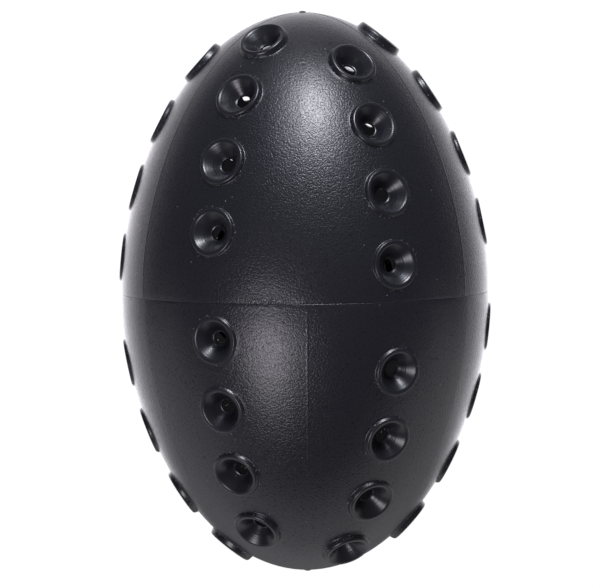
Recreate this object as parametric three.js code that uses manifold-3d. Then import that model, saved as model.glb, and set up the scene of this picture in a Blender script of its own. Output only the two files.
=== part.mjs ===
// Egg-shaped percussion shaker lying on its side: two half shells, pierced by funnel-shaped
// sound holes and closed by a lap joint round the middle, with loose steel pellets inside.
// Millimetres. +Z is up, +Y runs along the egg towards its upper half, and the egg rests on
// the straight land of its seam at Z = 0.
import * as THREE from 'three';
import { mergeVertices } from 'three/addons/utils/BufferGeometryUtils.js';
import Module from 'manifold-3d';

// Body
const LENGTH = 131;
const DIAMETER = 86;
const SEAM_WALL = 3.4; // the wall thins from the seam to the poles
const POLE_WALL = 2.1;
const END_FULLNESS = 1.71; // exponent along the axis: 2 is a true ellipse, less is more pointed

// Lap joint at the seam: a tongue on the upper half in a rebate of the lower half
const TONGUE_HEIGHT = 2.5;
const LAP_CLEARANCE = 0.15;
const LAND_MARGIN = 0.35; // straight wall left beyond the lap joint

// Funnels, in meridian rows that start alternately near the seam and far from it
const ROWS_ROUND_BODY = 6;
const MOUTH_DIAMETER = 9.4;
const LIP_WIDTH = 0.9;
const LIP_CHAMFER = 0.3;
const FUNNEL_LENGTH = 3.7; // from the chamber to the lip: the lip stands proudest where the wall is thin
const THROAT_DIAMETER = 3.2;
const THROAT_LENGTH = 0.4;
const SEAM_TO_NEAR_RIM = 2.95;
const SEAM_TO_FAR_RIM = 10.75;
const BETWEEN_RIMS = 5.45;
const POLE_CLEARANCE = 12; // least distance along the skin from a funnel's axis to the pole
const ROOT_COVER = 0.4; // wall left under the root of a boss
const TOOL_OVERSHOOT = 1; // how far a cutting body runs past the face that it cuts

// Pellets, in one layer on the floor of the chamber
const PELLET_DIAMETER = 6;
const PELLET_COUNTS = [4, 7, 8, 9, 8, 7, 4]; // row by row
const PELLET_SPACING = 0.4; // between neighbours, seen from above
const PELLET_SEAT_GAP = 0.3; // between a pellet and the wall under it

// Fineness of the faceted surfaces
const BODY_SIDES = 36;
const SKIN_RINGS = 9;
const CHAMBER_RINGS = 7;
const FUNNEL_SIDES = 12;
const PELLET_DETAIL = 1;
const SKIN_STEPS = 2000; // steps in which the skin's length is measured
const HALVINGS = 50; // steps in which a place on a profile is searched
const MERGE_DISTANCE = 1e-4;

const RADIUS = DIAMETER / 2;
const LAND = TONGUE_HEIGHT + LAP_CLEARANCE + LAND_MARGIN; // straight wall on each side of the seam
const CROWN = LENGTH / 2 - LAND; // from the end of the land to the pole
const SKIN = { radius: RADIUS, crown: CROWN };
const CHAMBER = { radius: RADIUS - SEAM_WALL, crown: CROWN - POLE_WALL };
const TONGUE_THICKNESS = (SEAM_WALL - LAP_CLEARANCE) / 2;
const RIM_DIAMETER = MOUTH_DIAMETER + 2 * LIP_WIDTH;
const QUARTER_TURN = Math.PI / 2;
const FUNNEL_AXIS = new THREE.Vector3(0, 1, 0);

const wasm = await Module();
wasm.setup();

// Solids

function solidOf(geometry) {
  const bare = geometry.clone();
  bare.deleteAttribute('normal');
  bare.deleteAttribute('uv');
  const merged = mergeVertices(bare, MERGE_DISTANCE);
  const corners = merged.index.array;
  const triangles = [];
  for (let first = 0; first < corners.length; first += 3) {
    const [a, b, c] = corners.slice(first, first + 3);
    const collapsed = a === b || b === c || c === a;
    if (!collapsed) {
      triangles.push(a, b, c);
    }
  }
  return new wasm.Manifold(new wasm.Mesh({
    numProp: 3,
    vertProperties: merged.attributes.position.array,
    triVerts: Uint32Array.from(triangles),
  }));
}

function geometryOf(solid) {
  const mesh = solid.getMesh();
  const geometry = new THREE.BufferGeometry();
  geometry.setAttribute('position', new THREE.BufferAttribute(mesh.vertProperties, 3));
  geometry.setIndex(new THREE.BufferAttribute(mesh.triVerts, 1));
  geometry.computeVertexNormals();
  return geometry;
}

// A body turned about +Y from [radius, height] points that start and end on the axis, in order
// from the bottom up on its outside. Its flat sides, not its corners, lie at the given radii.
function turnedGeometry(outline, sides) {
  const halfStep = Math.PI / sides;
  const toCorner = 1 / Math.cos(halfStep);
  const points = outline.map(([radius, height]) => new THREE.Vector2(radius * toCorner, height));
  return new THREE.LatheGeometry(points, sides, halfStep);
}

// Egg profile, of the skin and of the chamber

// A point of a profile's meridian, sunk below it along the normal. The angle runs from 0 at the
// end of the land to a quarter turn at the pole.
function meridianPoint(profile, angle, depth = 0) {
  const rise = Math.sin(angle) ** (2 / END_FULLNESS);
  const slopeAcross = (2 * Math.cos(angle)) / profile.radius;
  const slopeAlong = (END_FULLNESS * rise ** (END_FULLNESS - 1)) / profile.crown;
  const steepness = Math.hypot(slopeAcross, slopeAlong);
  const normal = { across: slopeAcross / steepness, along: slopeAlong / steepness };
  return {
    radius: profile.radius * Math.cos(angle) - depth * normal.across,
    height: LAND + profile.crown * rise - depth * normal.along,
    normal,
  };
}

// From the end of the land to the pole, as [radius, height] pairs
function crownOutline(profile, rings) {
  const points = [];
  for (let ring = 0; ring < rings; ring += 1) {
    const { radius, height } = meridianPoint(profile, (QUARTER_TURN * ring) / rings);
    points.push([radius, height]);
  }
  points.push([0, LAND + profile.crown]);
  return points;
}

// Points of the skin from the land to the pole, each with its distance along the skin from the seam
function measuredSkin() {
  const points = [{ ...meridianPoint(SKIN, 0), distance: LAND }];
  for (let step = 1; step <= SKIN_STEPS; step += 1) {
    const last = points.at(-1);
    const point = meridianPoint(SKIN, (QUARTER_TURN * step) / SKIN_STEPS);
    const stride = Math.hypot(point.radius - last.radius, point.height - last.height);
    points.push({ ...point, distance: last.distance + stride });
  }
  return points;
}

// The largest value between two limits that passes a test, where all below it pass too
function largest(low, high, test) {
  let passes = low;
  let fails = high;
  for (let halving = 0; halving < HALVINGS; halving += 1) {
    const middle = (passes + fails) / 2;
    if (test(middle)) {
      passes = middle;
    } else {
      fails = middle;
    }
  }
  return passes;
}

// Radius, at a height above the seam, of the surface that lies a depth below a profile
function radiusAt(profile, height, depth) {
  const angle = largest(0, QUARTER_TURN, (middle) => meridianPoint(profile, middle, depth).height < height);
  return meridianPoint(profile, angle, depth).radius;
}

// Thickness of the wall, along the normal at a point of the skin
function wallAt({ radius, height, normal }) {
  return largest(0, SEAM_WALL, (depth) => {
    const across = (radius - depth * normal.across) / CHAMBER.radius;
    const along = (height - depth * normal.along - LAND) / CHAMBER.crown;
    return across ** 2 + Math.max(along, 0) ** END_FULLNESS > 1;
  });
}

// Funnels

function bossGeometry(wall) {
  const rim = RIM_DIAMETER / 2;
  const root = ROOT_COVER - wall;
  const lip = FUNNEL_LENGTH - wall;
  return turnedGeometry([
    [0, root],
    [rim, root],
    [rim, lip - LIP_CHAMFER],
    [rim - LIP_CHAMFER, lip],
    [0, lip],
  ], FUNNEL_SIDES);
}

function boreGeometry(wall) {
  const mouth = MOUTH_DIAMETER / 2;
  const throat = THROAT_DIAMETER / 2;
  const lip = FUNNEL_LENGTH - wall;
  const flare = (mouth - throat) / (FUNNEL_LENGTH - THROAT_LENGTH);
  return turnedGeometry([
    [0, -wall - TOOL_OVERSHOOT],
    [throat, -wall - TOOL_OVERSHOOT],
    [throat, THROAT_LENGTH - wall],
    [mouth + flare * TOOL_OVERSHOOT, lip + TOOL_OVERSHOOT],
    [0, lip + TOOL_OVERSHOOT],
  ], FUNNEL_SIDES);
}

// The matrix that takes a funnel from its own +Y axis to a point of the skin, turned to an azimuth
function funnelPlace(point, azimuth) {
  const { radius, height, normal } = point;
  const outward = new THREE.Vector3(Math.sin(azimuth), 0, Math.cos(azimuth));
  const funnel = new THREE.Object3D();
  funnel.position.copy(outward).multiplyScalar(radius).setY(height);
  const direction = outward.clone().multiplyScalar(normal.across).setY(normal.along);
  funnel.quaternion.setFromUnitVectors(FUNNEL_AXIS, direction);
  funnel.updateMatrix();
  return funnel.matrix;
}

// Each funnel's matrix, with the thickness of the wall that it goes through
function funnelPlaces() {
  const places = [];
  const skin = measuredSkin();
  const farthest = skin.at(-1).distance - POLE_CLEARANCE;
  const pitch = RIM_DIAMETER + BETWEEN_RIMS;
  for (let row = 0; row < ROWS_ROUND_BODY; row += 1) {
    const azimuth = ((row + 0.5) / ROWS_ROUND_BODY) * 2 * Math.PI;
    const seamToRim = row % 2 === 0 ? SEAM_TO_NEAR_RIM : SEAM_TO_FAR_RIM;
    for (let along = seamToRim + RIM_DIAMETER / 2; along <= farthest; along += pitch) {
      const point = skin.find(({ distance }) => distance >= along);
      places.push({ matrix: funnelPlace(point, azimuth), wall: wallAt(point) });
    }
  }
  return places;
}

// Half shells

function pierced(shell) {
  const places = funnelPlaces();
  let result = shell;
  for (const { matrix, wall } of places) {
    result = result.add(solidOf(bossGeometry(wall).applyMatrix4(matrix)));
  }
  for (const { matrix, wall } of places) {
    result = result.subtract(solidOf(boreGeometry(wall).applyMatrix4(matrix)));
  }
  return result;
}

// A half shell with its pole towards +Y: the edge outline runs from the chamber out to the skin
function halfShell(edgeOutline) {
  const outline = [
    ...crownOutline(CHAMBER, CHAMBER_RINGS).reverse(),
    ...edgeOutline,
    ...crownOutline(SKIN, SKIN_RINGS),
  ];
  return geometryOf(pierced(solidOf(turnedGeometry(outline, BODY_SIDES))));
}

function upperShellGeometry() {
  const tongueOuter = CHAMBER.radius + TONGUE_THICKNESS;
  return halfShell([
    [CHAMBER.radius, -TONGUE_HEIGHT],
    [tongueOuter, -TONGUE_HEIGHT],
    [tongueOuter, 0],
    [RADIUS, 0],
  ]);
}

function lowerShellGeometry() {
  const rebateOuter = CHAMBER.radius + TONGUE_THICKNESS + LAP_CLEARANCE;
  const rebateFloor = TONGUE_HEIGHT + LAP_CLEARANCE;
  return halfShell([
    [CHAMBER.radius, rebateFloor],
    [rebateOuter, rebateFloor],
    [rebateOuter, 0],
    [RADIUS, 0],
  ]);
}

// Pellets

function pelletGeometry() {
  return geometryOf(solidOf(new THREE.IcosahedronGeometry(PELLET_DIAMETER / 2, PELLET_DETAIL)));
}

// Close-packed rows along the egg, each pellet just clear of the chamber's floor
function pelletSeats() {
  const seats = [];
  const pitch = PELLET_DIAMETER + PELLET_SPACING;
  const rowStep = pitch * Math.sin(Math.PI / 3);
  const depth = PELLET_SEAT_GAP + PELLET_DIAMETER / 2;
  PELLET_COUNTS.forEach((count, row) => {
    const x = (row - (PELLET_COUNTS.length - 1) / 2) * rowStep;
    for (let place = 0; place < count; place += 1) {
      const y = (place - (count - 1) / 2) * pitch;
      const radius = radiusAt(CHAMBER, Math.abs(y), depth);
      seats.push(new THREE.Vector3(x, y, -Math.sqrt(radius ** 2 - x ** 2)));
    }
  });
  return seats;
}

// Assembly

const BLACK_PLASTIC = { color: 0x1c1c20, roughness: 0.55, metalness: 0 };
const BRIGHT_STEEL = { color: 0xa3a6aa, roughness: 0.3, metalness: 1 };

const shaker = new THREE.Group();
shaker.position.z = RADIUS;

function addPiece(name, geometry, look) {
  const piece = new THREE.Mesh(geometry, new THREE.MeshStandardMaterial(look));
  piece.name = name;
  shaker.add(piece);
  return piece;
}

addPiece('upper_shell', upperShellGeometry(), BLACK_PLASTIC);

// The lower half has the same funnels, turned half round about the vertical
const lowerShell = addPiece('lower_shell', lowerShellGeometry(), BLACK_PLASTIC);
lowerShell.rotation.z = Math.PI;

pelletSeats().forEach((seat, index) => {
  const name = `pellet_${String(index + 1).padStart(2, '0')}`;
  const pellet = addPiece(name, pelletGeometry(), BRIGHT_STEEL);
  pellet.position.copy(seat);
});

export default shaker;
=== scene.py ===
"""Dresses the percussion shaker: two half shells with moulded funnels, tumbled pellets and a white studio."""
import math

import bpy
import numpy as np
from mathutils import Matrix, Vector

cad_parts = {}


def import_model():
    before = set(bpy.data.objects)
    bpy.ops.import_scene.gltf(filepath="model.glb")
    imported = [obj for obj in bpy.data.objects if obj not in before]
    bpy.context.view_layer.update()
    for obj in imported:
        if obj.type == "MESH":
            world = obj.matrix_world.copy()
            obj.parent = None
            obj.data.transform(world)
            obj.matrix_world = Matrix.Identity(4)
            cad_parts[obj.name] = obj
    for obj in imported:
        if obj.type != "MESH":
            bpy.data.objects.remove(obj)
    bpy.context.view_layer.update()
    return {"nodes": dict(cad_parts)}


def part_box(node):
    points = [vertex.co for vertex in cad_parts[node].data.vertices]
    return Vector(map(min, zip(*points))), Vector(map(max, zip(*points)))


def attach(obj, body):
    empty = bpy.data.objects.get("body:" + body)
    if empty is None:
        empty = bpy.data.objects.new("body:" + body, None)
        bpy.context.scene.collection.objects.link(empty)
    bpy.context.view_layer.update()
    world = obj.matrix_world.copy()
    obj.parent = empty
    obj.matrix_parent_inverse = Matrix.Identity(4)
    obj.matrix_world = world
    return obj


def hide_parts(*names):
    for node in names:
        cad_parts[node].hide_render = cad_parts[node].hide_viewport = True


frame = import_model()

MM = 0.001

# Body, from the solids where they show it
_, upper_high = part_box("upper_shell")
HALF_LENGTH = upper_high.y
RADIUS = upper_high.z / 2
SEAM_WALL = 3.4 * MM  # the wall thins from the seam to the poles
POLE_WALL = 2.4 * MM
LAND = 3.0 * MM  # straight wall on each side of the seam
END_FULLNESS = 1.71  # exponent along the axis: 2 is a true ellipse, less is more pointed
TONGUE_HEIGHT = 2.5 * MM
LAP_CLEARANCE = 0.15 * MM
SEAM_ROUND = 0.16 * MM  # rounded outer edge of each half at the seam

# Funnels
ROWS = 6
FUNNELS_IN_ROW = 4
PITCH = 16.65 * MM
NEAR_START = 8.55 * MM  # from the seam to the first funnel's axis, in every other row
FAR_START = 16.35 * MM  # the same in the rows between
THROAT_RADIUS = 1.6 * MM
THROAT_LENGTH = 0.4 * MM
THROAT_ROUND = 0.08 * MM
LEDGE_WIDTH = 0.28 * MM  # narrow ledge round the throat
LEDGE_RISE = 0.12 * MM
LEDGE_ROUND = 0.2 * MM
FLARE = 0.13 * MM  # bulge of the funnel's wall, as in a trumpet
FLARE_ROUND = 8 * MM
MOUTH_RADIUS = 4.65 * MM
MOUTH_ROUND = 0.9 * MM
FUNNEL_LENGTH = 3.7 * MM  # from the chamber to the lip: the lip stands proudest where the wall is thin
LIP_RADIUS = 5.5 * MM
LIP_ROUND = 0.6 * MM
FOOT_RADIUS = 5.8 * MM
FOOT_ROUND = 0.3 * MM
PATCH_RADIUS = 6.6 * MM  # where the funnel's rings hand over to the skin
LEAN = math.radians(1.2)  # of a funnel's axis towards the seam: none at the seam, this much at a pole

# Marks of the mould
PARTING_RIDGE = 0.05 * MM
PARTING_WIDTH = math.radians(0.3)  # from the top of the ridge down to the skin
UPPER_PARTING = 1  # first row of the upper half with a ridge before it; every other row follows
LOWER_PARTING = 0
UPPER_TURN = math.radians(-0.9)  # the halves were joined a little out of register
LOWER_TURN = math.radians(0.5)
# Scar of the gate, from its foot in: radius and lift of each ring, in millimetres
GATE_OUTLINE = ((1.5, 0.0), (1.2, -0.06), (1.0, -0.05), (0.85, 0.12), (0.6, 0.28), (0.3, 0.34))
GATE_TOP = 0.36 * MM

# Pellets
PELLET_DETAIL = 4  # 1 is an icosahedron, and each step more splits its faces in four
PELLET_FLATS = 17
FLAT_SHARE = 0.985  # of the radius, from the middle to a flat
GOLDEN_ANGLE = math.pi * (3 - math.sqrt(5))  # from flat to flat, and from each pellet to the next
TUMBLE_AXIS = (1, 1, 1)

# Fineness of the shells
COLUMNS = 22  # across the cell of one funnel
STEPS_PER_PITCH = 10  # along the skin
CAP_STEPS = 6  # from the last cells to the gate
CELL_RINGS = 7  # from a funnel's patch to the border of its cell
CELL_GRADING = 1.4  # over 1, these rings lie closer near the patch
ARC_STEPS = 5  # in each rounded corner of a funnel
SEAM_STEPS = 3  # in the rounded edge at the seam
TABLE_STEPS = 4000  # in the table of distances along the skin
SEARCH_REACH = 5 * MM  # to each side of a point, where the skin or the chamber's wall is looked for
SEARCH_STEPS = 40
CREASE = math.radians(50)  # edges that turn by more than this are shaded sharp

# Finish of the plastic; a pair of levels is where, in its noise, a mark ends and the plain skin starts
PLASTIC_BLACK = (0.0090, 0.0088, 0.0130, 1)
PLASTIC_IOR = 1.5
SKIN_ROUGHNESS = 0.29
FUNNEL_ROUGHNESS = 0.3
SKIN_GLOSS = 0.53  # specular level; 0.5 is plain plastic
FUNNEL_GLOSS = 0.5
DULL_GLOSS = 0.28  # in dull specks of the skin
DULL_SIZE = 0.5 * MM
DULL_DETAIL = 1
DULL_LEVELS = (0.30, 0.42)
GRAIN_SIZE = 0.45 * MM
GRAIN_DETAIL = 2
GRAIN_LEVELS = (0.34, 0.60)
GRAIN_DEPTH = 0.022 * MM
SCUFF_DEPTH = 0.08 * MM  # rougher skin at one place on the upper half, beside the seam
SCUFF_PLACE = -9 * MM  # across the egg, on its upper side
SCUFF_LENGTH = 15 * MM
SCUFF_CORE = 5 * MM  # the middle of that length, where it is full
SCUFF_WIDTH = 2.6 * MM
TURNING_PITCH = 0.4 * MM  # marks that the turned mould cores left in the funnels
TURNING_HEIGHT = 0.04 * MM
# pale grey of the specks over the skin, and of the painted glints on the flash round each funnel's foot
SPECK_AND_GLINT_GREY = (0.20, 0.20, 0.22, 1)
# pale grey specks strewn over the skin
SPECK_SPACING = 3.3 * MM
SPECK_RADIUS = 0.15 * MM
FLASH_GLINT_SPACING = 0.65 * MM  # crumbs of moulding flash round the foot of each funnel, coloured pale grey as painted glints
FLASH_GLINT_RADIUS = 0.16 * MM

# Finish of the pellets
STEEL_GREY = (0.56, 0.57, 0.58, 1)
STEEL_ROUGHNESS = (0.18, 0.38)  # least and most
STEEL_PATCH = 1.4 * MM
STEEL_DETAIL = 4

# Floor, in metres from the spot below the egg's middle; each fade is where a change starts and ends
FLOOR_SIZE = 30
FLOOR_WHITE = 1.06
FLOOR_SHADOW = 0.08  # share of the lit floor that shows through its white
PAPER_GREY = (0.9, 0.9, 0.9, 1)
PAPER_ROUGHNESS = 0.9
# painted glow of the floor, seen only in the plastic's reflections: a painted reflection with a painted shade
# of the egg
BESIDE_GLOW = 1.8  # next to the egg, of a narrow painted lit patch and of a wide one
AROUND_GLOW = 0.06  # what the wide patch fades to
HORIZON_GLOW = 0.72  # beyond the lower end, on the walls of the room too
UPPER_GLOW = 0.5  # beyond the upper end, on the walls of the room too
NARROW_FADE = (0.045, 0.085)
WIDE_FADE = (0.05, 0.16)
BEYOND_FADE = (0.06, 0.16)
PAINTED_SHADE = 0.08  # share of the glow that is left in the egg's painted shade
PAINTED_SHADE_FADE = (-0.08, -0.04)  # along the egg
LOWER_FADE = (0.01, -0.10)  # along the egg
UPPER_FADE = (0.07, 0.13)  # along the egg
UPPER_WIDTH_FADE = (0.02, 0.09)  # to each side

# Room; each fade is a part of the direction looked in, where 1 is straight up or straight along the egg
WHITE = (1, 1, 1, 1)
ROOM_TINT = (0.96, 0.94, 1.0, 1)  # of the room's light, and of the floor in the plastic
SKY = 0.12
OVERHEAD_SKY = 0.165
OVERHEAD_FADE = (0.5, 0.9)
WALL_FADE = (0.05, 0.50)  # up the walls
LOWER_WALL_FADE = (-0.18, -0.55)
UPPER_WALL_FADE = (0.80, 0.97)

# Lamps: the direction from the egg's middle, then metres and watts
UPPER_LIGHT = {
    "direction": (0.12, 0.88, 0.475),
    "distance": 1.2,
    "size": 0.32,
    "power": 10.8,
    "tint": (0.96, 0.97, 1.0),
}
UPPER_WINDOW = {
    "direction": (0.08, 0.87, 0.49),
    "distance": 1.2,
    "size": 0.8,
    "power": 6.5,
    "tint": (0.76, 0.80, 1.0),
}
LOWER_LIGHT = {
    "direction": (-0.36, -0.33, 0.87),
    "distance": 1.4,
    "size": 0.55,
    "power": 8.2,
    "tint": (0.95, 0.92, 1.0),
}
CHAMBER_POWER = 0.065
CHAMBER_TINT = (1.0, 0.98, 0.75)

# Camera, fitted to the photograph
PHOTO_WIDTH = 600
PHOTO_HEIGHT = 587
EGG_CENTRE_PIXEL = (305.1, 291.6)
PIXELS_PER_RADIUS = 183.2
CAMERA_TILT = 0.067  # radians from straight above towards the upper half
CAMERA_ROLL = 0.0094  # radians
CAMERA_DISTANCE = 1.4  # metres
FARTHEST_SEEN = 100  # metres
SENSOR = 36.0  # millimetres across

# Worked out from these
CROWN = HALF_LENGTH - LAND
CHAMBER_RADIUS = RADIUS - SEAM_WALL
CHAMBER_CROWN = CROWN - POLE_WALL
TONGUE_THICKNESS = (SEAM_WALL - LAP_CLEARANCE) / 2
ROW_ANGLE = 2 * math.pi / ROWS
HALF_PITCH_STEPS = STEPS_PER_PITCH // 2
CENTRE = Vector((0, 0, RADIUS))


# Egg profile

def meridian(angle):
    """Radius, height and normal of the skin at an angle from 0 at the land to 90 degrees at the pole."""
    rise = np.sin(angle) ** (2 / END_FULLNESS)
    across = 2 * np.cos(angle) / RADIUS
    along = END_FULLNESS * rise ** (END_FULLNESS - 1) / CROWN
    steepness = np.hypot(across, along)
    return RADIUS * np.cos(angle), LAND + CROWN * rise, across / steepness, along / steepness


table_angle = np.linspace(0, math.pi / 2, TABLE_STEPS + 1)
table_radius, table_height, _, _ = meridian(table_angle)
table_stride = np.hypot(np.diff(table_radius), np.diff(table_height))
table_distance = LAND + np.concatenate(([0], np.cumsum(table_stride)))
SKIN_LENGTH = table_distance[-1]


def skin(azimuth, distance, lift=0.0):
    """Points on the skin, or lifted off it, at an azimuth and a distance from the seam."""
    angle = np.interp(distance, table_distance, table_angle)
    radius, height, across, along = meridian(angle)
    height = np.where(distance < LAND, distance, height)
    radius = radius + lift * across
    height = height + lift * along
    places = np.broadcast_arrays(radius * np.sin(azimuth), height, radius * np.cos(azimuth))
    return np.stack(places, axis=-1)


def skin_place(points):
    """Azimuth and distance from the seam of points on the skin."""
    rise = np.clip((points[..., 1] - LAND) / CROWN, 0, 1)
    angle = np.arcsin(rise ** (END_FULLNESS / 2))
    on_crown = np.interp(angle, table_angle, table_distance)
    distance = np.where(points[..., 1] < LAND, points[..., 1], on_crown)
    return np.arctan2(points[..., 0], points[..., 2]), distance


def height_of(radius, crown, points, direction):
    """How far each point has to go along the direction to meet the egg of that radius and crown."""
    low = np.full(points.shape[:-1], -SEARCH_REACH)
    high = np.full(points.shape[:-1], SEARCH_REACH)
    for _ in range(SEARCH_STEPS):
        middle = (low + high) / 2
        tried = points + middle[..., None] * direction
        across = np.hypot(tried[..., 0], tried[..., 2]) / radius
        along = np.clip((tried[..., 1] - LAND) / crown, 0, None)
        inside = across ** 2 + along ** END_FULLNESS < 1
        low = np.where(inside, middle, low)
        high = np.where(inside, high, middle)
    return low


def wall_at(distance):
    """Thickness of the wall along the skin's normal, at a distance from the seam."""
    foot = skin(0.0, distance)
    normal = skin(0.0, distance, 1.0) - foot
    return -height_of(CHAMBER_RADIUS, CHAMBER_CROWN, foot, normal)


def lining(azimuth, distance):
    """Points on the wall of the chamber, below the skin at an azimuth and a distance from the seam."""
    return skin(azimuth, distance, -wall_at(distance))


# Funnels

def rounded(corners):
    """A polyline through (x, y, round) corners, with each corner that has a round replaced by an arc."""
    points = []
    for number, (x, y, radius) in enumerate(corners):
        corner = np.array((x, y))
        if radius == 0:
            points.append(corner)
            continue
        back = np.array(corners[number - 1][:2]) - corner
        ahead = np.array(corners[number + 1][:2]) - corner
        back = back / np.linalg.norm(back)
        ahead = ahead / np.linalg.norm(ahead)
        half = math.acos(np.clip(back @ ahead, -1, 1)) / 2
        bisector = (back + ahead) / np.linalg.norm(back + ahead)
        middle = corner + bisector * radius / math.sin(half)
        start = corner + back * radius / math.tan(half) - middle
        end = corner + ahead * radius / math.tan(half) - middle
        sweep = math.atan2(start[0] * end[1] - start[1] * end[0], start @ end)
        for step in range(ARC_STEPS + 1):
            turn = sweep * step / ARC_STEPS
            cos = math.cos(turn)
            sin = math.sin(turn)
            spoke = np.array((start[0] * cos - start[1] * sin, start[0] * sin + start[1] * cos))
            points.append(middle + spoke)
    return np.array(points)


def funnel_profile(wall):
    """Radius and height of a funnel's outline, from the end of its throat out to its patch of skin."""
    throat = THROAT_LENGTH - wall
    lip = FUNNEL_LENGTH - wall
    ledge = np.array((THROAT_RADIUS + LEDGE_WIDTH, throat + LEDGE_RISE))
    mouth = np.array((MOUTH_RADIUS, lip))
    run, rise = (mouth - ledge) / np.linalg.norm(mouth - ledge)
    bulge = (ledge + mouth) / 2 + FLARE * np.array((-rise, run))
    return rounded([
        (THROAT_RADIUS, -wall, 0),
        (THROAT_RADIUS, throat, THROAT_ROUND),
        (*ledge, LEDGE_ROUND),
        (*bulge, FLARE_ROUND),
        (*mouth, MOUTH_ROUND),
        (LIP_RADIUS, lip, LIP_ROUND),
        (FOOT_RADIUS, 0, FOOT_ROUND),
        (PATCH_RADIUS, 0, 0),
    ])


def ring_turns():
    """Angles of the points round a funnel, as many as there are points on the border of its cell."""
    count = 2 * (COLUMNS + STEPS_PER_PITCH)
    return (np.arange(count) - STEPS_PER_PITCH / 2) * 2 * math.pi / count


def funnel_rings(azimuth, distance):
    """Rings of points of a funnel, from its throat out to its patch of skin, and each ring's radius."""
    foot = skin(azimuth, distance)
    normal = skin(azimuth, distance, 1.0) - foot
    slope = math.asin(normal[1])
    tilt = slope - LEAN * math.sin(slope)
    level = math.cos(tilt)
    axis = np.array((level * math.sin(azimuth), math.sin(tilt), level * math.cos(azimuth)))
    east = np.array((math.cos(azimuth), 0, -math.sin(azimuth)))
    north = np.cross(axis, east)
    turns = ring_turns()
    around = np.cos(turns)[:, None] * east + np.sin(turns)[:, None] * north
    wall = wall_at(distance)
    profile = funnel_profile(wall)
    rings = []
    for radius, height in profile:
        flat = foot + radius * around
        on_outside = radius > (MOUTH_RADIUS + LIP_RADIUS) / 2
        # outside the lip, a ring follows the curve of the skin the more the lower it lies
        follow = np.clip(1 - height / (FUNNEL_LENGTH - wall), 0, 1) if on_outside else 0
        drop = height_of(RADIUS, CROWN, flat, axis) * follow
        rings.append(flat + (height + drop)[..., None] * axis)
    return np.array(rings), profile[:, :1]


# Half shells

def row_columns():
    """Azimuths of one row's columns, from its parting line on, and the number of its cells' first column."""
    before = [0, PARTING_WIDTH]
    cells = np.linspace(2 * PARTING_WIDTH, ROW_ANGLE - 2 * PARTING_WIDTH, COLUMNS + 1)
    after = [ROW_ANGLE - PARTING_WIDTH]
    return np.concatenate((before, cells, after)), len(before)


def skin_steps():
    """Distances from the seam of the steps along a half shell, from its rounded edge to its gate."""
    step = PITCH / STEPS_PER_PITCH
    last = FUNNELS_IN_ROW * STEPS_PER_PITCH + HALF_PITCH_STEPS
    gate_start = SKIN_LENGTH - GATE_OUTLINE[0][0] * MM
    cap = np.linspace(last * step, gate_start, CAP_STEPS + 1)[1:]
    distances = np.concatenate((np.arange(last + 1) * step, cap))
    distances[0] = SEAM_ROUND
    return distances


def near(azimuth, angles):
    """The same angles, each within half a turn of the azimuth."""
    return azimuth + np.angle(np.exp(1j * (angles - azimuth)))


def quads(grid, column, along):
    """Faces of a grid of point numbers that closes on itself across its columns."""
    ahead = (column + 1) % len(grid)
    corners = [grid[column, along], grid[ahead, along], grid[ahead, along + 1], grid[column, along + 1]]
    return np.stack(corners, axis=-1)


class Builder:
    """Gathers points and four-sided faces. A point's reach is its radius on a funnel, or the patch's."""

    def __init__(self):
        self.points = []
        self.reach = []
        self.faces = []
        self.count = 0

    def add(self, points, reach=PATCH_RADIUS):
        """Adds points and gives their numbers, in an array of the same form."""
        flat = points.reshape(-1, 3)
        self.points.append(flat)
        self.reach.append(np.broadcast_to(reach, points.shape[:-1]).reshape(-1))
        numbers = np.arange(self.count, self.count + len(flat)).reshape(points.shape[:-1])
        self.count += len(flat)
        return numbers

    def strips(self, rings, flip=False):
        """Joins rows of point numbers, each row going once round, by four-sided faces."""
        for lower, upper in zip(rings[:-1], rings[1:]):
            faces = np.stack([lower, np.roll(lower, -1), np.roll(upper, -1), upper], axis=-1)
            self.faces.append(faces[:, ::-1] if flip else faces)

    def fan(self, ring, tip, flip=False):
        """Closes a ring at a tip on the axis, by faces that have the tip as two of their corners."""
        number = self.add(np.array([[0.0, tip, 0.0]]))
        tips = np.full_like(ring, number[0])
        self.strips([ring, tips], flip)

    def mesh(self, name):
        """A mesh of the points that faces use, with each face's doubled corner left out."""
        points = np.concatenate(self.points)
        reach = np.concatenate(self.reach)
        faces = np.concatenate(self.faces)
        used, numbers = np.unique(faces, return_inverse=True)
        faces = numbers.reshape(faces.shape).tolist()
        faces = [list(dict.fromkeys(face)) for face in faces]
        mesh = bpy.data.meshes.new(name)
        mesh.from_pydata(points[used].tolist(), [], faces)
        mesh.attributes.new("funnel_reach", "FLOAT", "POINT").data.foreach_set("value", reach[used])
        mesh.validate()
        mesh.shade_smooth()
        mesh.set_sharp_from_angle(angle=CREASE)
        return mesh


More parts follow.
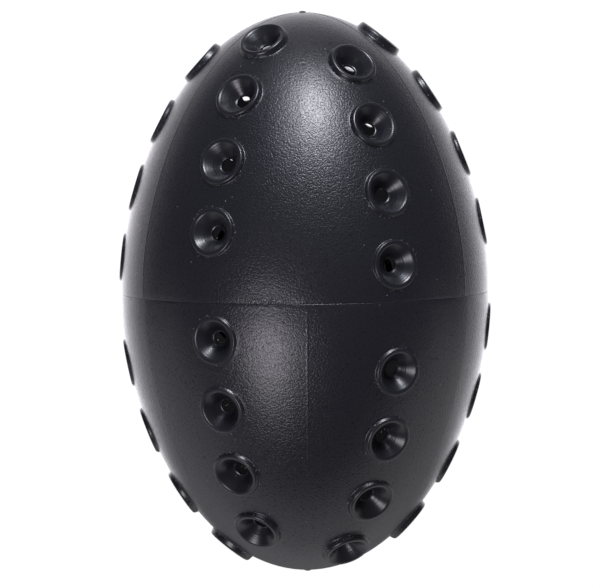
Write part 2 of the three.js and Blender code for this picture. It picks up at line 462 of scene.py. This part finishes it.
class HalfShell(Builder):
    """A half shell with its pole towards +Y: a grid of skin and one of lining, with cells cut for funnels."""

    def __init__(self, first_parting):
        super().__init__()
        row, self.first_cell_column = row_columns()
        self.per_row = len(row)
        self.azimuths = np.concatenate([number * ROW_ANGLE + row for number in range(ROWS)])
        self.distances = skin_steps()
        self.plain = np.ones((len(self.azimuths), len(self.distances) - 1), bool)
        ridge = np.zeros((len(self.azimuths), 1))
        ridge[first_parting * self.per_row::2 * self.per_row] = PARTING_RIDGE
        self.outer = self.add(skin(self.azimuths[:, None], self.distances, ridge))
        self.inner = self.add(lining(self.azimuths[:, None], self.distances))

    def cut_cell(self, west, south):
        """Cuts a cell out of the grids, and gives the columns and steps of the points on its border."""
        east = west + COLUMNS
        north = south + STEPS_PER_PITCH
        self.plain[west:east, south:north] = False
        columns = np.concatenate((
            np.full(STEPS_PER_PITCH, east),
            np.arange(east, west, -1),
            np.full(STEPS_PER_PITCH, west),
            np.arange(west, east),
        ))
        steps = np.concatenate((
            np.arange(south, north),
            np.full(COLUMNS, north),
            np.arange(north, south, -1),
            np.full(COLUMNS, south),
        ))
        return columns, steps

    def funnel(self, row, number):
        """Cuts a cell and fills it with a funnel, and with skin and lining from there to its border."""
        azimuth = (row + 0.5) * ROW_ANGLE
        start = (NEAR_START, FAR_START)[row % 2]
        shift = (0, HALF_PITCH_STEPS)[row % 2]
        west = row * self.per_row + self.first_cell_column
        columns, steps = self.cut_cell(west, number * STEPS_PER_PITCH + shift)

        rings, reach = funnel_rings(azimuth, start + number * PITCH)
        patch_azimuth, patch_distance = skin_place(rings[-1])
        patch_azimuth = near(azimuth, patch_azimuth)
        border_azimuth = near(azimuth, self.azimuths[columns])
        border_distance = self.distances[steps]
        share = (np.arange(1, CELL_RINGS) / CELL_RINGS)[:, None] ** CELL_GRADING
        cell_azimuth = patch_azimuth + (border_azimuth - patch_azimuth) * share
        cell_distance = patch_distance + (border_distance - patch_distance) * share

        funnel = self.add(rings, reach)
        outer_cell = self.add(skin(cell_azimuth, cell_distance))
        self.strips([*funnel, *outer_cell, self.outer[columns, steps]], flip=True)
        inner_patch = self.add(lining(patch_azimuth, patch_distance))
        inner_cell = self.add(lining(cell_azimuth, cell_distance))
        self.strips([funnel[0], inner_patch, *inner_cell, self.inner[columns, steps]])

    def between_cells(self):
        """Fills the skin and the lining where no cell was cut."""
        column, along = np.nonzero(self.plain)
        self.faces.append(quads(self.outer, column, along))
        self.faces.append(quads(self.inner, column, along)[:, ::-1])

    def pole(self):
        """Closes the skin with the scar of the gate, and the lining with a point."""
        rings = [self.outer[:, -1]]
        for radius, lift in GATE_OUTLINE[1:]:
            ring = skin(self.azimuths, SKIN_LENGTH - radius * MM)
            ring[:, 1] += lift * MM
            rings.append(self.add(ring))
        self.strips(rings)
        self.fan(rings[-1], HALF_LENGTH + GATE_TOP)
        self.fan(self.inner[:, -1], HALF_LENGTH - POLE_WALL, flip=True)

    def seam(self, edge):
        """Joins the skin to the lining by the rings of an edge outline, given as radius and height."""
        rings = [self.outer[:, 0]]
        for radius, height in edge:
            level = np.full_like(self.azimuths, height)
            ring = np.stack([radius * np.sin(self.azimuths), level, radius * np.cos(self.azimuths)], axis=-1)
            rings.append(self.add(ring))
        self.strips([*rings, self.inner[:, 0]], flip=True)


def seam_round():
    """The rounded outer edge at the seam, from the skin to the face of the seam."""
    points = []
    for angle in np.linspace(0, math.pi / 2, SEAM_STEPS + 1)[1:]:
        radius = RADIUS - SEAM_ROUND * (1 - math.cos(angle))
        height = SEAM_ROUND * (1 - math.sin(angle))
        points.append((radius, height))
    return points


def upper_edge():
    """The upper half's edge, from the skin in to the chamber, with its tongue."""
    tongue_outer = CHAMBER_RADIUS + TONGUE_THICKNESS
    return [
        *seam_round(),
        (tongue_outer, 0),
        (tongue_outer, -TONGUE_HEIGHT),
        (CHAMBER_RADIUS, -TONGUE_HEIGHT),
    ]


def lower_edge():
    """The lower half's edge, from the skin in to the chamber, with the rebate that takes the tongue."""
    rebate_outer = CHAMBER_RADIUS + TONGUE_THICKNESS + LAP_CLEARANCE
    rebate_floor = TONGUE_HEIGHT + LAP_CLEARANCE
    return [
        *seam_round(),
        (rebate_outer, 0),
        (rebate_outer, rebate_floor),
        (CHAMBER_RADIUS, rebate_floor),
    ]


def shell_mesh(name, edge, first_parting):
    """A half shell with all its funnels, its gate and its edge."""
    half = HalfShell(first_parting)
    for row in range(ROWS):
        for number in range(FUNNELS_IN_ROW):
            half.funnel(row, number)
    half.between_cells()
    half.pole()
    half.seam(edge)
    return half.mesh(name)


# Pellets

def pellet_mesh(radius):
    """A tumbled ball: round, with faint flats where it has knocked against its neighbours."""
    bpy.ops.mesh.primitive_ico_sphere_add(subdivisions=PELLET_DETAIL, radius=radius)
    ball = bpy.context.object
    mesh = ball.data
    bpy.data.objects.remove(ball)
    for flat in range(PELLET_FLATS):
        height = 1 - (2 * flat + 1) / PELLET_FLATS
        across = math.sqrt(1 - height ** 2)
        turn = GOLDEN_ANGLE * flat
        direction = Vector((across * math.cos(turn), across * math.sin(turn), height))
        for vertex in mesh.vertices:
            over = max(vertex.co.dot(direction) - FLAT_SHARE * radius, 0)
            vertex.co -= over * direction
    mesh.shade_smooth()
    return mesh


# Materials

class NodeTree:
    """Short calls for adding nodes to a material or a world."""

    def __init__(self, owner):
        owner.use_nodes = True
        self.nodes = owner.node_tree.nodes
        self.links = owner.node_tree.links

    def set(self, node, inputs):
        """Fills each socket with a constant or links it to another node's output."""
        for name, value in inputs.items():
            if isinstance(value, bpy.types.NodeSocket):
                self.links.new(value, node.inputs[name])
            else:
                node.inputs[name].default_value = value

    def add(self, kind, inputs, **settings):
        node = self.nodes.new(kind)
        for name, value in settings.items():
            setattr(node, name, value)
        self.set(node, inputs)
        return node

    def math(self, operation, first, second=0.0):
        return self.add("ShaderNodeMath", {0: first, 1: second}, operation=operation).outputs[0]

    def product(self, first, *others):
        for other in others:
            first = self.math("MULTIPLY", first, other)
        return first

    def ramp(self, value, start, end, first, last):
        """Goes smoothly from the first level to the last while the value goes from start to end."""
        inputs = {"Value": value, "From Min": start, "From Max": end, "To Min": first, "To Max": last}
        return self.add("ShaderNodeMapRange", inputs, interpolation_type="SMOOTHSTEP").outputs[0]

    def mix(self, share, first, second):
        """A colour that goes from the first to the second as the share goes from 0 to 1."""
        node = self.add("ShaderNodeMix", {}, data_type="RGBA")
        sockets = {socket.name: socket for socket in node.inputs if socket.type == "RGBA"}
        sockets["A"].default_value = first
        sockets["B"].default_value = second
        self.links.new(share, node.inputs["Factor"])
        return next(socket for socket in node.outputs if socket.type == "RGBA")

    def place(self):
        """Where on the piece a point is, in the piece's own frame."""
        return self.add("ShaderNodeTexCoord", {}).outputs["Object"]

    def parts(self, vector):
        return self.add("ShaderNodeSeparateXYZ", {0: vector}).outputs

    def noise(self, size, detail):
        inputs = {"Vector": self.place(), "Scale": 1 / size, "Detail": detail}
        return self.add("ShaderNodeTexNoise", inputs).outputs["Fac"]

    def crumbs(self, spacing, radius):
        """1 on small round crumbs strewn at about that spacing, 0 elsewhere."""
        cells = self.add("ShaderNodeTexVoronoi", {"Vector": self.place(), "Scale": 1 / spacing})
        return self.ramp(cells.outputs["Distance"], radius / spacing, radius / spacing / 2, 0.0, 1.0)

    def ray_share(self, *kinds):
        """1 for the kinds of ray named and 0 for the others."""
        path = self.add("ShaderNodeLightPath", {})
        share = path.outputs[kinds[0]]
        for kind in kinds[1:]:
            share = self.math("MAXIMUM", share, path.outputs[kind])
        return share


def plastic_colour(tree, reach):
    """Black, with pale grey specks all over, and crumbs of flash round the foot of each funnel painted pale
    grey as glints (painted highlights).
    """
    inside = tree.ramp(reach, LIP_RADIUS, FOOT_RADIUS, 0.0, 1.0)
    outside = tree.ramp(reach, FOOT_RADIUS, PATCH_RADIUS, 1.0, 0.0)
    at_foot = tree.product(inside, outside)
    # painted glints: pale crumbs of flash at the foot of each funnel
    flash_glints = tree.product(tree.crumbs(FLASH_GLINT_SPACING, FLASH_GLINT_RADIUS), at_foot)
    specks = tree.math("MAXIMUM", tree.crumbs(SPECK_SPACING, SPECK_RADIUS), flash_glints)
    return tree.mix(specks, PLASTIC_BLACK, SPECK_AND_GLINT_GREY)


def scuff(tree):
    """Extra depth of grain at the scuffed place beside the seam."""
    spot = tree.parts(tree.place())
    beside = tree.ramp(spot["Y"], 0.0, SCUFF_WIDTH, SCUFF_DEPTH, 0.0)
    on_upper_half = tree.ramp(spot["Y"], -LAP_CLEARANCE, 0.0, 0.0, 1.0)
    off_middle = tree.math("ABSOLUTE", tree.math("SUBTRACT", spot["X"], SCUFF_PLACE))
    within = tree.ramp(off_middle, SCUFF_CORE / 2, SCUFF_LENGTH / 2, 1.0, 0.0)
    on_upper_side = tree.math("GREATER_THAN", spot["Z"], 0.0)
    return tree.product(beside, on_upper_half, within, on_upper_side)


def plastic_relief(tree, reach, polished):
    """Pitted grain on the skin, and turning marks that run round each funnel."""
    grain = tree.add("ShaderNodeBump", {
        "Height": tree.ramp(tree.noise(GRAIN_SIZE, GRAIN_DETAIL), *GRAIN_LEVELS, 0.0, 1.0),
        "Distance": tree.math("ADD", scuff(tree), GRAIN_DEPTH),
        "Strength": tree.math("SUBTRACT", 1.0, polished),
    })
    marks = {"W": reach, "Scale": 1 / TURNING_PITCH}
    turning = tree.add("ShaderNodeTexNoise", marks, noise_dimensions="1D")
    return tree.add("ShaderNodeBump", {
        "Height": turning.outputs["Fac"],
        "Distance": TURNING_HEIGHT,
        "Strength": polished,
        "Normal": grain.outputs[0],
    }).outputs[0]


def plastic_gloss(tree, polished):
    """Dull specks on the skin, and none in the funnels."""
    specks = tree.noise(DULL_SIZE, DULL_DETAIL)
    skin_gloss = tree.ramp(specks, *DULL_LEVELS, DULL_GLOSS, SKIN_GLOSS)
    return tree.math("MAXIMUM", skin_gloss, tree.product(polished, FUNNEL_GLOSS))


def shell_material():
    """Black plastic: satin spark-eroded grain on the skin, and turning marks in the funnels."""
    material = bpy.data.materials.new("shell_plastic")
    tree = NodeTree(material)
    reach = tree.add("ShaderNodeAttribute", {}, attribute_name="funnel_reach").outputs["Fac"]
    polished = tree.ramp(reach, FOOT_RADIUS, PATCH_RADIUS, 1.0, 0.0)
    tree.set(tree.nodes["Principled BSDF"], {
        "Base Color": plastic_colour(tree, reach),
        "IOR": PLASTIC_IOR,
        "Specular IOR Level": plastic_gloss(tree, polished),
        "Roughness": tree.ramp(polished, 0.0, 1.0, SKIN_ROUGHNESS, FUNNEL_ROUGHNESS),
        "Normal": plastic_relief(tree, reach, polished),
    })
    return material


def pellet_material():
    """Tumbled steel: bright, with a faint unevenness of polish."""
    material = bpy.data.materials.new("pellet_steel")
    tree = NodeTree(material)
    tree.set(tree.nodes["Principled BSDF"], {
        "Base Color": STEEL_GREY,
        "Metallic": 1.0,
        "Roughness": tree.ramp(tree.noise(STEEL_PATCH, STEEL_DETAIL), 0.0, 1.0, *STEEL_ROUGHNESS),
    })
    return material


# Pieces

def place(name, mesh, matrix, body, node):
    """Adds a piece, hangs it on the body it rides on, and hides the CAD node that it stands for."""
    piece = bpy.data.objects.new(name, mesh)
    piece.matrix_world = matrix
    bpy.context.scene.collection.objects.link(piece)
    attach(piece, body)
    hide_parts(node)


plastic = shell_material()


def shell(name, mesh, half_turn, turn, node):
    """Points a half shell's pole the right way, turns it a little about the egg's axis and places it."""
    mesh.transform(Matrix.Rotation(turn, 4, "Y") @ Matrix.Rotation(half_turn, 4, "Z"))
    mesh.materials.append(plastic)
    place(name, mesh, Matrix.Translation(CENTRE), "shell", node)


upper_mesh = shell_mesh("upper_half", upper_edge(), UPPER_PARTING)
lower_mesh = shell_mesh("lower_half", lower_edge(), LOWER_PARTING)
shell("upper_half", upper_mesh, 0, UPPER_TURN, "upper_shell")
shell("lower_half", lower_mesh, math.pi, LOWER_TURN, "lower_shell")

pellet_nodes = sorted(node for node in frame["nodes"] if node.startswith("pellet_"))
first_low, first_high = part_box(pellet_nodes[0])
ball_mesh = pellet_mesh((first_high.z - first_low.z) / 2)
ball_mesh.materials.append(pellet_material())
for number, node in enumerate(pellet_nodes):
    low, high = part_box(node)
    seat = Matrix.Translation((low + high) / 2)
    tumbled = Matrix.Rotation(GOLDEN_ANGLE * number, 4, Vector(TUMBLE_AXIS))
    place(f"ball_{node}", ball_mesh, seat @ tumbled, node, node)


# Studio

def painted_floor_glow(tree):
    """Painted reflection: how bright the plastic sees the floor, painted bright beside the egg, with painted
    shade at its lower end, lit beyond.
    """
    position = tree.add("ShaderNodeNewGeometry", {}).outputs["Position"]
    away = tree.add("ShaderNodeVectorMath", {0: position}, operation="LENGTH").outputs["Value"]
    along = tree.parts(position)["Y"]
    aside = tree.math("ABSOLUTE", tree.parts(position)["X"])

    wide = tree.ramp(away, *WIDE_FADE, BESIDE_GLOW, AROUND_GLOW)
    narrow = tree.ramp(away, *NARROW_FADE, BESIDE_GLOW, 0.0)
    painted_shade = tree.ramp(along, *PAINTED_SHADE_FADE, PAINTED_SHADE, 1.0)
    nearby = tree.product(tree.math("ADD", wide, narrow), painted_shade)

    beyond = tree.ramp(away, *BEYOND_FADE, 0.0, HORIZON_GLOW)
    lower_end = tree.product(beyond, tree.ramp(along, *LOWER_FADE, 0.0, 1.0))
    upper_side = tree.ramp(along, *UPPER_FADE, 0.0, UPPER_GLOW)
    upper_end = tree.product(upper_side, tree.ramp(aside, *UPPER_WIDTH_FADE, 1.0, 0.0))
    return tree.math("ADD", tree.math("ADD", nearby, lower_end), upper_end)


def floor_material():
    """White with a faint shadow where it is seen, plain paper to the light, and a painted glow with painted
    shade where the plastic mirrors it.
    """
    material = bpy.data.materials.new("floor_white")
    tree = NodeTree(material)
    paper = tree.nodes["Principled BSDF"]
    tree.set(paper, {"Base Color": PAPER_GREY, "Roughness": PAPER_ROUGHNESS})
    seen = tree.ray_share("Is Camera Ray", "Is Transmission Ray")
    mirrored = tree.ray_share("Is Glossy Ray")
    white = tree.product(seen, FLOOR_WHITE)
    # painted reflection: the floor glows, with a painted shade, only where the plastic mirrors it
    reflected = tree.product(mirrored, painted_floor_glow(tree))
    glow = tree.add("ShaderNodeEmission", {
        "Color": tree.mix(mirrored, WHITE, ROOM_TINT),
        "Strength": tree.math("MAXIMUM", white, reflected),
    })
    share = tree.product(tree.math("MAXIMUM", seen, mirrored), 1 - FLOOR_SHADOW)
    mix = tree.add("ShaderNodeMixShader", {0: share, 1: paper.outputs[0], 2: glow.outputs[0]})
    tree.set(tree.nodes["Material Output"], {"Surface": mix.outputs[0]})
    return material


def floor():
    """A square of paper, far wider than the view, that the egg lies on."""
    bpy.ops.mesh.primitive_plane_add(size=FLOOR_SIZE)
    plane = bpy.context.object
    plane.name = "floor"
    plane.data.materials.append(floor_material())


def world():
    """White where the camera sees it, otherwise a dim room with pale walls low down beyond both ends."""
    studio = bpy.data.worlds.new("studio")
    bpy.context.scene.world = studio
    tree = NodeTree(studio)
    direction = tree.parts(tree.add("ShaderNodeTexCoord", {}).outputs["Generated"])
    low_down = tree.ramp(direction["Z"], *WALL_FADE, 1.0, 0.0)
    lower_wall = tree.ramp(direction["Y"], *LOWER_WALL_FADE, 0.0, HORIZON_GLOW)
    upper_wall = tree.ramp(direction["Y"], *UPPER_WALL_FADE, 0.0, UPPER_GLOW)
    walls = tree.product(low_down, tree.math("ADD", lower_wall, upper_wall))
    overhead = tree.ramp(direction["Z"], *OVERHEAD_FADE, SKY, OVERHEAD_SKY)
    room = tree.math("ADD", walls, overhead)
    seen = tree.ray_share("Is Camera Ray")
    white = tree.product(seen, FLOOR_WHITE * (1 - FLOOR_SHADOW))
    tree.set(tree.nodes["Background"], {
        "Color": tree.mix(seen, ROOM_TINT, WHITE),
        "Strength": tree.math("MAXIMUM", room, white),
    })


def softbox(name, direction, distance, size, power, tint):
    """A square lamp that faces the egg's middle."""
    lamp = bpy.data.lights.new(name, "AREA")
    lamp.size = size
    lamp.energy = power
    lamp.color = tint
    light = bpy.data.objects.new(name, lamp)
    direction = Vector(direction).normalized()
    light.location = CENTRE + direction * distance
    light.rotation_mode = "QUATERNION"
    light.rotation_quaternion = direction.to_track_quat("Z", "Y")
    bpy.context.scene.collection.objects.link(light)


def chamber_light():
    """A faint lamp in the chamber, so that the throats read as dark grey and not as pure black."""
    lamp = bpy.data.lights.new("chamber_light", "POINT")
    lamp.energy = CHAMBER_POWER
    lamp.color = CHAMBER_TINT
    lamp.shadow_soft_size = THROAT_RADIUS
    light = bpy.data.objects.new("chamber_light", lamp)
    light.location = CENTRE
    light.visible_camera = False
    light.visible_glossy = False
    bpy.context.scene.collection.objects.link(light)


def camera():
    """Looks down on the egg, a little tilted and rolled, with the egg's middle on its pixel of the photo."""
    lens = bpy.data.cameras.new("camera")
    lens.sensor_fit = "HORIZONTAL"
    lens.sensor_width = SENSOR
    metres_per_pixel = RADIUS / PIXELS_PER_RADIUS
    lens.lens = SENSOR * CAMERA_DISTANCE / (PHOTO_WIDTH * metres_per_pixel)
    lens.clip_end = FARTHEST_SEEN
    back = Vector((0, math.sin(CAMERA_TILT), math.cos(CAMERA_TILT)))
    right = Vector((1, 0, 0))
    up = back.cross(right)
    rolled_right = right * math.cos(CAMERA_ROLL) - up * math.sin(CAMERA_ROLL)
    rolled_up = back.cross(rolled_right)
    aside = (EGG_CENTRE_PIXEL[0] - PHOTO_WIDTH / 2) * metres_per_pixel
    above = (PHOTO_HEIGHT / 2 - EGG_CENTRE_PIXEL[1]) * metres_per_pixel
    spot = CENTRE + back * CAMERA_DISTANCE - rolled_right * aside - rolled_up * above
    turned = Matrix((rolled_right, rolled_up, back)).transposed().to_4x4()
    eye = bpy.data.objects.new("camera", lens)
    eye.matrix_world = Matrix.Translation(spot) @ turned
    bpy.context.scene.collection.objects.link(eye)
    bpy.context.scene.camera = eye


floor()
world()
softbox("upper_light", **UPPER_LIGHT)
softbox("upper_window", **UPPER_WINDOW)
softbox("lower_light", **LOWER_LIGHT)
chamber_light()
camera()
bpy.context.scene.view_settings.view_transform = "Standard"
